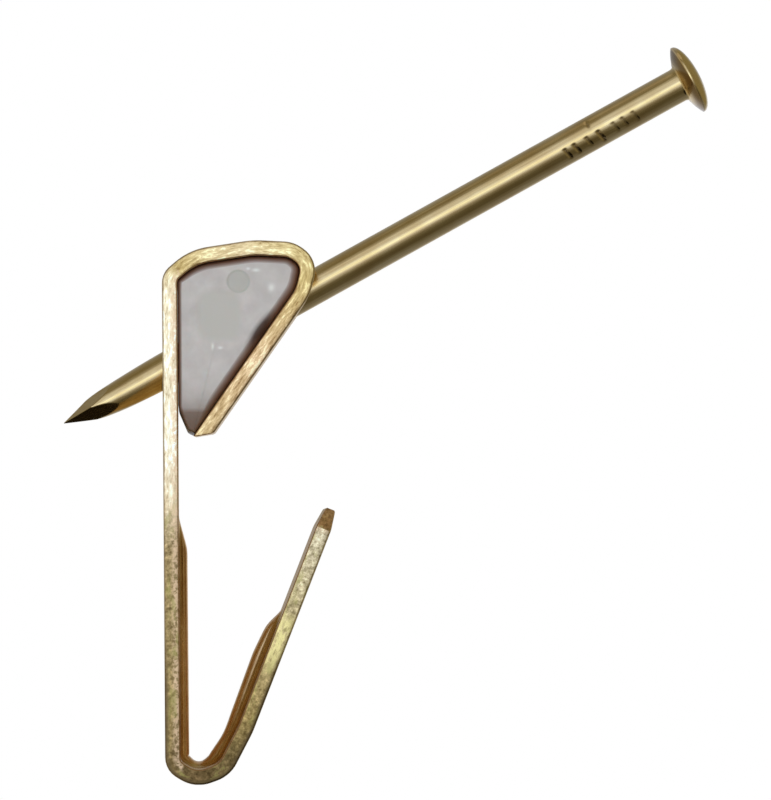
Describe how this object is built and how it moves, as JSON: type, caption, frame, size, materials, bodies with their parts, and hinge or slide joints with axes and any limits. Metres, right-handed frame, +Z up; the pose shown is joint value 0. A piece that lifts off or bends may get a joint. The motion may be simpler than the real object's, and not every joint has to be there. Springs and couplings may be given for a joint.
{
  "type": "nail-on picture hook",
  "caption": "Bent metal strip hook with a pressed rib, a closed loop filled by a nylon guide, and a slanted round nail that slides through the guide to hold the hook on a wall.",
  "frame": {"origin": "where the nail's axis crosses the wall plane, which is the back face of the strap, at the middle of its width", "axes": "+X out from the wall, +Y along the strap's width, +Z up"},
  "size_m": [0.0342, 0.0094, 0.0386],
  "materials": {
    "strap_plating": "bright yellow plating over steel, mottled on the cut edges",
    "nail_plating": "drawn wire, darker yellow plating, glossy",
    "nylon": "translucent grey-white moulded nylon"
  },
  "bodies": {
    "hook": {"hook_strap": "strap_plating", "nail_guide": "nylon"},
    "nail": {"nail": "nail_plating"}
  },
  "joints": [
    {"name": "nail_slide", "type": "slide", "parent": "hook", "child": "nail", "axis": [-0.8771, 0, -0.4802], "range_m": [-0.0166, 0.0218]}
  ]
}
